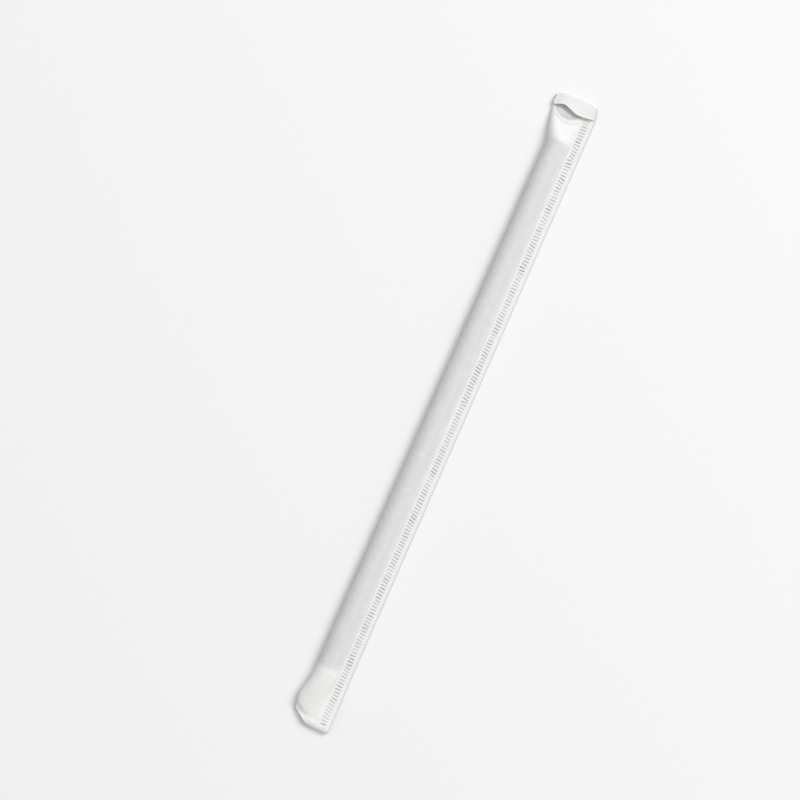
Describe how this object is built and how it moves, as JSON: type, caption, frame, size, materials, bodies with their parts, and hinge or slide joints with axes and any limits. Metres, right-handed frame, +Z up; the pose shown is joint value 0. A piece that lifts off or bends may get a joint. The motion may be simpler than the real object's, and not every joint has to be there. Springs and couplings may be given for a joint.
{
  "type": "wrapped drinking straw",
  "caption": "Straight paper drinking straw sealed in a thin paper sleeve with a crimped side seal, one crimped end seal bent back under it and the other curled over its top, lying flat.",
  "frame": {"origin": "on the flat underside, below the straw's axis and at the middle of the straw's length", "axes": "+X along the pack towards the folded end, the side seal on -Y and the closed fold of the sleeve on +Y, +Z up from the surface that the pack lies on"},
  "size_m": [0.2353, 0.0164, 0.0064],
  "materials": {
    "sleeve_paper": "matte",
    "straw_paper": "matte"
  },
  "bodies": {
    "root": {"wrapper": "sleeve_paper", "straw": "straw_paper"}
  },
  "joints": []
}
